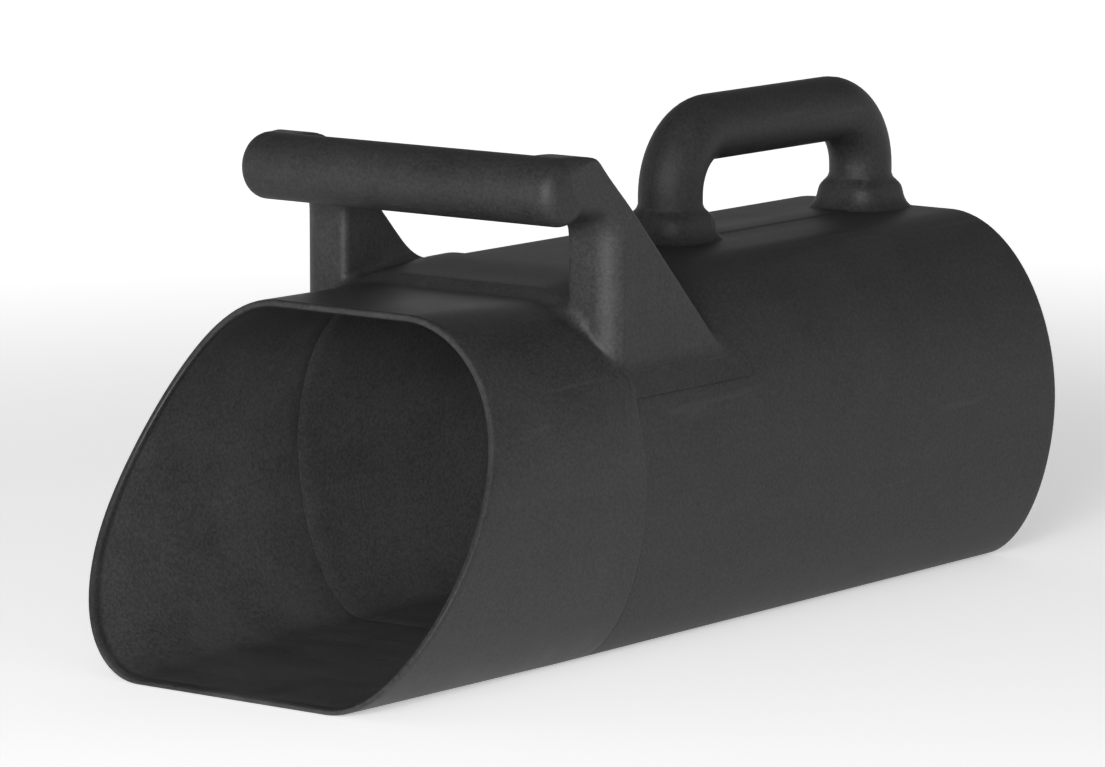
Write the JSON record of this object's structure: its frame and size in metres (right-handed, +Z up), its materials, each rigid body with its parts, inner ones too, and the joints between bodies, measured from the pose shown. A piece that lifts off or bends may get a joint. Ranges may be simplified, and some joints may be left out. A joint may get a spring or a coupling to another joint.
{
  "type": "beach sand scoop",
  "caption": "Hand-held sand scoop: flat-bottomed moulded barrel with a swept-back mouth, a cross grip on gusseted brackets, a bridge handle behind and a sieve plate at the rear",
  "frame": {"origin": "middle of the length and width, on the ground plane that the flat bottom rests on", "axes": "+Z up, the lip of the mouth faces -Y, +Y to the sieve end, +X to the right seen from behind"},
  "size_m": [0.2104, 0.5, 0.2367],
  "materials": {
    "body": "fine moulded grain, dark grey-black",
    "sieve": "fine moulded grain",
    "steel": "plain stainless",
    "brass": "knurled insert brass",
    "dowel": "turned plastic"
  },
  "bodies": {
    "root": {"mouth_shell": "body", "barrel_shell": "body", "handle_saddle": "body", "bracket_left": "body", "bracket_right": "body", "front_grip": "body", "grip_screws": "steel", "grip_inserts": "brass", "bracket_screws": "steel", "bracket_washers": "steel", "bracket_inserts": "brass", "rear_handle_left": "body", "rear_handle_right": "body", "handle_dowels": "dowel", "leg_plugs": "body", "foot_front": "body", "foot_rear": "body", "handle_screws": "steel", "handle_washers": "steel", "deck_backing_plate": "steel", "sieve_seat": "body", "sieve_plate": "sieve", "sieve_clamp_ring": "body", "sieve_screws": "steel"}
  },
  "joints": []
}
